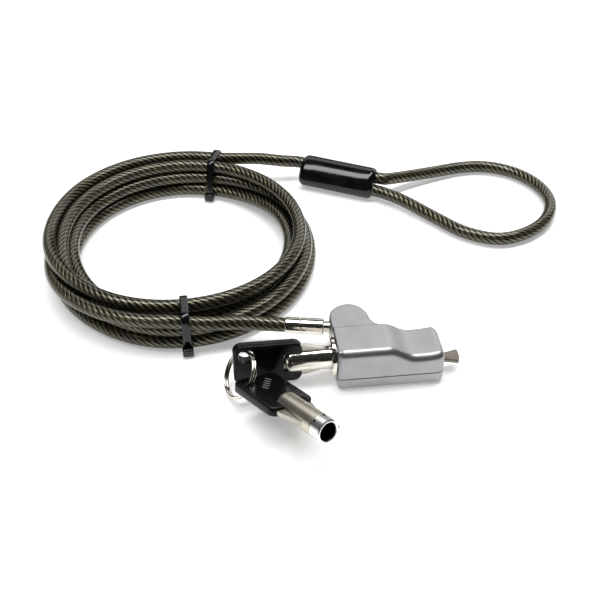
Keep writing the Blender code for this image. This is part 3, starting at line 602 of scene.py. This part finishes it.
def head_outline():
    """The casting in plan with its lobe, anticlockwise from the front left corner."""
    left, right = HEAD_LEFT, HEAD_RIGHT
    front, back = -HEAD_DEPTH / 2, HEAD_DEPTH / 2
    small, wide = FRONT_LEFT_CORNER, RIGHT_CORNER
    rise = back + LOBE_BLEND - LOBE_CENTRE[1]
    reach = math.sqrt((LOBE_RADIUS + LOBE_BLEND) ** 2 - rise ** 2)
    blend_centre = (LOBE_CENTRE[0] + reach, back + LOBE_BLEND)
    touch = math.degrees(math.atan2(rise, reach))
    lobe_side = (LOBE_CENTRE[0] - LOBE_RADIUS, LOBE_CENTRE[1])
    return (arc((left + small, front + small), small, 180, 270, 8)
            + line((left + small, front), (right - wide, front), 44)
            + arc((right - wide, front + wide), wide, 270, 360, 10)
            + line((right, front + wide), (right, back - wide), 14)
            + arc((right - wide, back - wide), wide, 0, 90, 10)
            + line((right - wide, back), (blend_centre[0], back), 20)
            + arc(blend_centre, LOBE_BLEND, 270, 180 + touch, 14)
            + arc(LOBE_CENTRE, LOBE_RADIUS, touch, 180, 40)
            + line(lobe_side, (left, front + small), 26))


def ease(t):
    t = min(1.0, max(0.0, t))
    return t * t * (3 - 2 * t)


def top_height(x, y):
    """Height of the casting's top: a flat, a thumb scoop to its right, and a lower lobe at the back."""
    fall = ease((x - SCOOP_START) / SCOOP_RUN) ** 0.9
    rise = ease((x - SCOOP_RISE_START) / SCOOP_RISE_RUN) * (SCOOP_END_Z - SCOOP_VALLEY_Z)
    block = HEAD_HEIGHT + (SCOOP_VALLEY_Z - HEAD_HEIGHT) * fall + rise
    step = ease((y - STEP_START) / STEP_RUN)
    return block + (min(block, LOBE_HEIGHT) - block) * step


def inside(points, outline):
    """Which of the points lie inside a closed outline."""
    x, y = points[:, 0], points[:, 1]
    found = np.zeros(len(points), bool)
    for (x0, y0), (x1, y1) in zip(outline, np.roll(outline, -1, axis=0)):
        crosses = (y0 > y) != (y1 > y)
        if y0 != y1:
            found ^= crosses & (x < (x1 - x0) * (y - y0) / (y1 - y0) + x0)
    return found


def cap(outline, height, spacing=0.55):
    """Triangles over an outline, with inner points on a grid: points, faces and each point's source."""
    low, high = outline.min(axis=0), outline.max(axis=0)
    grid = np.stack(np.meshgrid(np.arange(low[0], high[0], spacing), np.arange(low[1], high[1], spacing)),
                    axis=-1).reshape(-1, 2)
    grid = grid[inside(grid, outline)]
    apart = grid[:, None] - outline[None]
    grid = grid[np.hypot(apart[..., 0], apart[..., 1]).min(axis=1) > spacing * 0.6]
    points = [Vector(p) for p in outline] + [Vector(p) for p in grid]
    edges = [(i, (i + 1) % len(outline)) for i in range(len(outline))]
    flat, _, faces, origin = delaunay_2d_cdt(points, edges, [], 1, 1e-7)[:4]
    order = [source[0] for source in origin]
    return [(p.x, p.y, height(p.x, p.y)) for p in flat], faces, order


def cast_cover(name, low, high, roll, flip=False):
    """A cover with vertical walls: low is its flat face, and high(x, y) the face with the rolled edge.

    roll(nx, ny) is that edge's radius. flip turns the cover over, so the rolled face is at the bottom.
    """
    outline = np.array(head_outline())
    normals = outward_normals(outline)
    count, steps = len(outline), 7
    radii = np.array([roll(*n) for n in normals])
    vertices = [(x, y, low) for x, y in outline - normals * PARTING_CHAMFER]
    vertices += [(x, y, low - PARTING_CHAMFER if flip else low + PARTING_CHAMFER) for x, y in outline]
    for k in range(steps + 1):
        turn = math.pi / 2 * k / steps
        for (x, y), (nx, ny), r in zip(outline, normals, radii):
            inset = r * (1 - math.cos(turn))
            px, py = x - nx * inset, y - ny * inset
            drop = r * (1 - math.sin(turn))
            vertices.append((px, py, high(px, py) + (drop if flip else -drop)))
    faces = grid_faces(steps + 3, count)
    last = (steps + 2) * count
    edge = np.array([v[:2] for v in vertices[last:]])
    points, triangles, order = cap(edge, high)
    index = {}
    for i, (point, source) in enumerate(zip(points, order)):
        if source < count:
            index[i] = last + source
        else:
            index[i] = len(vertices)
            vertices.append(point)
    faces += [tuple(index[i] for i in triangle) for triangle in triangles]
    faces.append(tuple(range(count))[::-1])
    if flip:
        faces = [face[::-1] for face in faces]
    cover = new_object(name, [Vector(v) * MM for v in vertices], faces, ZINC)
    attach(cover, "head")
    return cover


def cutter(name, mesh_maker, matrix):
    mesh = bmesh.new()
    mesh_maker(mesh)
    bmesh.ops.transform(mesh, matrix=matrix, verts=mesh.verts)
    data = bpy.data.meshes.new(name)
    mesh.to_mesh(data)
    mesh.free()
    return bpy.data.objects.new(name, data)


def box_cutter(name, low, high):
    size = Vector(high) - Vector(low)
    matrix = (Matrix.Translation((Vector(low) + Vector(high)) / 2 * MM)
              @ Matrix.Diagonal((*(size * MM), 1.0)))
    return cutter(name, lambda mesh: bmesh.ops.create_cube(mesh, size=1.0), matrix)


def round_cutter(name, radius, low, high, matrix, sides=48):
    def make(mesh):
        bmesh.ops.create_cone(mesh, cap_ends=True, segments=sides, radius1=radius * MM, radius2=radius * MM,
                              depth=(high - low) * MM,
                              matrix=Matrix.Translation((0, 0, (low + high) / 2 * MM)))
    return cutter(name, make, matrix)


def along(point, direction):
    """A frame at a point in millimetres whose Z runs along a direction."""
    z = Vector(direction).normalized()
    up = Vector((0, 0, 1)) if abs(z.z) < 0.9 else Vector((0, 1, 0))
    x = up.cross(z).normalized()
    return Matrix.Translation(Vector(point) * MM) @ Matrix((x, z.cross(x), z)).transposed().to_4x4()


def cut(target, cutters):
    """Cut the target by each cutter and keep the result as its mesh."""
    for tool in cutters:
        bpy.context.scene.collection.objects.link(tool)
        step = target.modifiers.new(tool.name, "BOOLEAN")
        step.operation, step.solver, step.object = "DIFFERENCE", "EXACT", tool
    graph = bpy.context.evaluated_depsgraph_get()
    mesh = bpy.data.meshes.new_from_object(target.evaluated_get(graph), depsgraph=graph)
    target.modifiers.clear()
    target.data = mesh
    for tool in cutters:
        bpy.data.objects.remove(tool)
    mesh.shade_smooth()
    mesh.set_sharp_from_angle(angle=math.radians(38))


def head_hollows():
    """Cutters for the chambers, the mouths, the screws and the line between block and lobe."""
    lock, swivel = along((0, 0, LOCK_Z), (1, 0, 0)), along(SWIVEL_POINT, swivel_direction())
    boxes = [box_cutter(name, low, high) for name, (low, high) in HOLLOWS.items()]
    bores = [
        round_cutter("lock_mouth", LOCK_MOUTH_RADIUS, HEAD_LEFT - 1, -10.0, lock),
        round_cutter("swivel_chamber", SWIVEL_CHAMBER_RADIUS, -9.0, -2.3, swivel),
        round_cutter("swivel_mouth", STUD_RADIUS + 0.3, -3.0, 3.0, swivel, 32),
    ]
    return boxes + bores + screw_cutters("screw_hole", SCREW_HOLE_RADIUS, SCREW_HOLE_TOP, 24)


def screw_cutters(name, radius, top, sides):
    return [round_cutter(f"{name}_{end}", radius, -1.0, top, along((x, y, 0), (0, 0, 1)), sides)
            for end, (x, y) in SCREWS.items()]


def build_head():
    """The two covers; the upper one's edge is rounder in front and at the tip's end."""
    upper = cast_cover("head_cover_upper", PARTING_Z + PARTING_GAP / 2, top_height,
                       lambda nx, ny: (UPPER_ROLL + FRONT_ROLL * max(0.0, -ny) ** 2
                                       + RIGHT_ROLL * max(0.0, nx) ** 2))
    lower = cast_cover("head_cover_lower", PARTING_Z - PARTING_GAP / 2, lambda x, y: 0.0,
                       lambda nx, ny: LOWER_ROLL, flip=True)
    cut(upper, head_hollows())
    cut(lower, head_hollows() + screw_cutters("seat", SCREW_SEAT_RADIUS, SCREW_SEAT_TOP, 32))
    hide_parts("housing_upper")
    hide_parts("housing_lower")


# ---------------------------------------------------------------- keys and their ring

def key_axes(yaw, tilt, roll):
    """A key's direction and the side of its bow that the ring passes through."""
    level = Vector((math.cos(yaw), math.sin(yaw), 0.0))
    direction = level * math.cos(tilt) + Vector((0, 0, math.sin(tilt)))
    side = direction.cross(Vector((0, 0, 1))).normalized()
    return direction, Matrix.Rotation(-roll, 3, direction) @ side


def key_frame(rear, direction, across):
    """A frame at a bow's rear end: X along the key, Y across the bow, Z out of its face."""
    face = direction.cross(across).normalized()
    return (Matrix.Translation(Vector(rear) * MM)
            @ Matrix((direction, face.cross(direction), face)).transposed().to_4x4())


def ring_axes():
    """The ring's level direction and the one that rises steepest in its plane."""
    rise = (Vector((0, 0, 1)) - RING_NORMAL * RING_NORMAL.z).normalized()
    return RING_NORMAL.cross(rise), rise


def key_2_frame():
    """Key 2's frame, hung by the hole of its bow on the ring's wire."""
    forwards, rise = ring_axes()
    pivot = RING_CENTRE + (forwards * math.cos(RING_TO_KEY_2) + rise * math.sin(RING_TO_KEY_2)) * RING_RADIUS
    direction, across = key_axes(KEY_2_YAW, KEY_2_TILT, KEY_2_ROLL)
    return key_frame(pivot - direction * BOW_HOLE[0] - across * BOW_HOLE[1], direction, across)


def bow_outline(inset):
    """A bow in plan, smaller by inset, as four quarter circles with a point every 10 degrees."""
    left, right, top = BOW_CORNER, BOW_LENGTH - BOW_CORNER, BOW_WIDTH / 2 - BOW_CORNER
    corners = [((left, top), 90), ((left, -top), 180), ((right, -top), 270), ((right, top), 360)]
    return [point for centre, start in corners
            for point in arc(centre, BOW_CORNER - inset, start, start + 100, 10)]


def build_bow(label, matrix):
    """A moulded bow with rolled edges, cut for the blade, the tube and the ring."""
    rings = []
    for k in (*range(-6, 0), *range(1, 7)):
        turn = math.pi * k / 12
        height = math.copysign(BOW_THICKNESS / 2 - BOW_EDGE, turn) + BOW_EDGE * math.sin(turn)
        rings.append([(x, y, height) for x, y in bow_outline(BOW_EDGE * (1 - math.cos(turn)))])
    bow = lofted(f"{label}_grip", rings, BOW_BLACK)
    hole = Matrix.Translation(Vector((*BOW_HOLE, 0)) * MM)
    axis = Matrix.Rotation(math.radians(90), 4, "Y")
    cut(bow, [round_cutter("ring_hole", BOW_HOLE_RADIUS, -3, 3, hole),
              round_cutter("tube_seat", KEY_TUBE_RADIUS + 0.03, KEY_TUBE_START, BOW_LENGTH + 2, axis),
              box_cutter("blade_slot", (9.0, -6.6, -0.75), (BOW_LENGTH + 2, 6.6, 0.75))])
    bow.matrix_world = matrix
    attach(bow, label)
    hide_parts(f"{label}_bow")


def build_shaft(label, matrix, finish):
    """The steel tube with its bored, turned end, over a flat blade."""
    radius, end, collar = KEY_TUBE_RADIUS, KEY_LENGTH, KEY_LENGTH - KEY_COLLAR_LENGTH
    groove, bottom = radius - 0.12, KEY_LENGTH - KEY_BORE_DEPTH
    dome = [(radius * math.sin(t), KEY_TUBE_START + 2.6 * (1 - math.cos(t)))
            for t in np.linspace(0.03, math.pi / 2, 9)]
    body = dome + [(radius, collar - 0.5), (groove, collar - 0.35), (groove, collar - 0.1)]
    turned = [(radius, collar), (radius, end - 0.35), (radius - 0.35, end), (KEY_BORE_RADIUS + 0.25, end)]
    bore = [(KEY_BORE_RADIUS, end - 0.25), (KEY_BORE_RADIUS, bottom), (0.1, bottom)]
    rings = [[(x, r * math.cos(t), r * math.sin(t)) for t in circle(KEY_TUBE_SIDES)]
             for r, x in body + turned + bore]
    tube = lofted(f"{label}_tube", rings, finish)
    tube.data.flip_normals()
    tube.data.set_sharp_from_angle(angle=math.radians(35))
    tube.data.materials.append(COLLAR)
    tube.data.materials.append(BORE_PAINTED_SHADE)
    # the bore's rows take the near-black painted shade
    row_slots = [0] * len(body) + [1] * len(turned) + [2] * len(bore)
    for polygon in tube.data.polygons:
        row = min(polygon.vertices) // KEY_TUBE_SIDES
        polygon.material_index = row_slots[row]
    halves = (-BLADE_HALF_THICKNESS, BLADE_HALF_THICKNESS)
    blade = lofted(f"{label}_blade", [[(x, y, z) for x, y in BLADE] for z in halves], STEEL)
    blade.data.set_sharp_from_angle(angle=math.radians(35))
    for piece in (tube, blade):
        piece.matrix_world = matrix
        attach(piece, label)
    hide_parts(f"{label}_shaft")
    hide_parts(f"{label}_shaft")


def build_key_details(matrix):
    """Raised marks on key 2's bow, grey as a painted highlight, and the pips and lug on the end of its tube.
    """
    turn = Matrix((MARK_ALONG, MARK_ACROSS, (0, 0, 1))).transposed().to_4x4()
    for i in range(5):
        mark = rounded_box(f"key_2_mark_{i + 1}", MARK_SIZE, 0.18, MARK_PAINTED_HIGHLIGHT)
        centre = Vector((*MARK_START, -BOW_THICKNESS / 2)) + MARK_ROW * MARK_STEP * i
        mark.matrix_world = matrix @ Matrix.Translation(centre * MM) @ turn
        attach(mark, "key_2")
        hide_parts("key_2_bow")
    for i, degrees in enumerate(PIP_ANGLES):
        a = math.radians(degrees)
        out = Vector((0, math.cos(a), -math.sin(a)))
        disc = [[(PIP_RADIUS * math.cos(t), PIP_RADIUS * math.sin(t), z) for t in circle(PIP_SIDES)]
                for z in (-PIP_HALF_HEIGHT, PIP_HALF_HEIGHT)]
        # the pips are near-black discs carrying the bore's painted shade
        pip = lofted(f"key_2_pip_{i + 1}", disc, BORE_PAINTED_SHADE)
        place = Vector((KEY_LENGTH - PIP_SETBACK, 0, 0)) + out * KEY_TUBE_RADIUS
        pip.matrix_world = matrix @ along(place, out)
        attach(pip, "key_2")
        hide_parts("key_2_shaft")
    lug = rounded_box("key_2_lug", LUG_SIZE, 0.4, NICKEL)
    lug.matrix_world = matrix @ Matrix.Translation(Vector((KEY_LENGTH - 1.0, -KEY_TUBE_RADIUS - 0.1, 0)) * MM)
    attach(lug, "key_2")
    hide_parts("key_2_shaft")


def build_ring():
    """Split ring: one round wire wound twice, side by side, with a joggle where it changes sides."""
    steps = 200
    forwards, rise = ring_axes()
    rings = []
    for i in range(steps + 1):
        turn = 4 * math.pi * i / steps
        out = forwards * math.cos(turn + RING_JOGGLE) + rise * math.sin(turn + RING_JOGGLE)
        crossed = ease((turn - 2 * math.pi) / RING_JOGGLE_SPAN + 0.5)
        centre = RING_CENTRE + out * RING_RADIUS + RING_NORMAL * RING_HALF_PITCH * (2 * crossed - 1)
        rings.append([centre + (out * math.cos(t) + RING_NORMAL * math.sin(t)) * RING_WIRE_RADIUS
                      for t in circle(12)])
    ring = lofted("key_ring_wire", rings, NICKEL)
    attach(ring, "ring")
    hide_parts("split_ring")


def build_keys():
    frames = {"key_1": key_frame(KEY_1_REAR, Vector((1, 0, 0)), Vector((0, 0, 1))), "key_2": key_2_frame()}
    for label, finish in (("key_1", NICKEL), ("key_2", SATIN_NICKEL)):
        build_bow(label, frames[label])
        build_shaft(label, frames[label], finish)
    build_key_details(frames["key_2"])
    build_ring()


# ---------------------------------------------------------------- stage, lights and camera

def add_stage():
    """A pale floor that glows a little, so that it stays pale in every shadow."""
    s = Shader("pale_floor")
    s.set(Base_Color=rgb(0.95, 0.95, 0.95), Roughness=0.9,
          Emission_Color=rgb(1.0, 1.0, 1.0), Emission_Strength=0.35)
    corners = [(-1, -1), (1, -1), (1, 1), (-1, 1)]
    floor = new_object("floor", [(x * FLOOR_HALF, y * FLOOR_HALF, FLOOR_Z) for x, y in corners],
                       [(0, 1, 2, 3)], s.material, smooth=False)


def add_light(name, location, target, size, power):
    """A rectangular area light: size in metres, power in watts."""
    light = bpy.data.lights.new(name, "AREA")
    light.shape, light.size, light.size_y = "RECTANGLE", size[0], size[1]
    light.energy = power
    made = bpy.data.objects.new(name, light)
    made.location = location
    made.rotation_euler = (Vector(target) - Vector(location)).to_track_quat("-Z", "Y").to_euler()
    bpy.context.scene.collection.objects.link(made)


def add_studio():
    """A dim surround, a little brighter overhead, and three soft lights."""
    world = bpy.data.worlds.new("studio")
    world.use_nodes = True
    tree = world.node_tree
    direction = tree.nodes.new("ShaderNodeTexCoord").outputs["Generated"]
    split = tree.nodes.new("ShaderNodeSeparateXYZ")
    tree.links.new(direction, split.inputs[0])
    ramp = tree.nodes.new("ShaderNodeMapRange")
    tree.links.new(split.outputs["Z"], ramp.inputs["Value"])
    ramp.inputs["From Min"].default_value, ramp.inputs["From Max"].default_value = 0.05, 0.8
    ramp.inputs["To Min"].default_value, ramp.inputs["To Max"].default_value = 0.22, 0.62
    tree.links.new(ramp.outputs[0], tree.nodes["Background"].inputs["Strength"])
    bpy.context.scene.world = world
    bpy.context.scene.view_settings.view_transform = "Standard"
    middle = (-0.02, 0.04, 0.0)
    add_light("overhead", (-0.05, 0.12, 0.9), middle, (1.3, 0.26), 10.5)
    add_light("back", (0.0, 1.2, 0.95), middle, (1.6, 0.7), 5.0)
    add_light("right", (0.8, 1.0, 0.45), middle, (0.9, 0.6), 3.0)


def add_camera():
    camera = bpy.data.cameras.new("camera")
    camera.lens, camera.sensor_width, camera.clip_start = CAMERA_LENS, 36.0, 0.01
    made = bpy.data.objects.new("camera", camera)
    turned = Matrix((CAMERA_RIGHT, CAMERA_UP, CAMERA_RIGHT.cross(CAMERA_UP))).transposed().to_4x4()
    made.matrix_world = Matrix.Translation(CAMERA_PLACE) @ turned
    bpy.context.scene.collection.objects.link(made)
    bpy.context.scene.camera = made


add_camera()
add_studio()
add_stage()
finish_cad_nodes()
build_head()
build_keys()
security_cable, cable_line, cable_run = build_cable()
ties = build_tie("tie_front", TIE_ANGLES["tie_front"], 1) + build_tie("tie_back", TIE_ANGLES["tie_back"], -1)
build_sleeve()
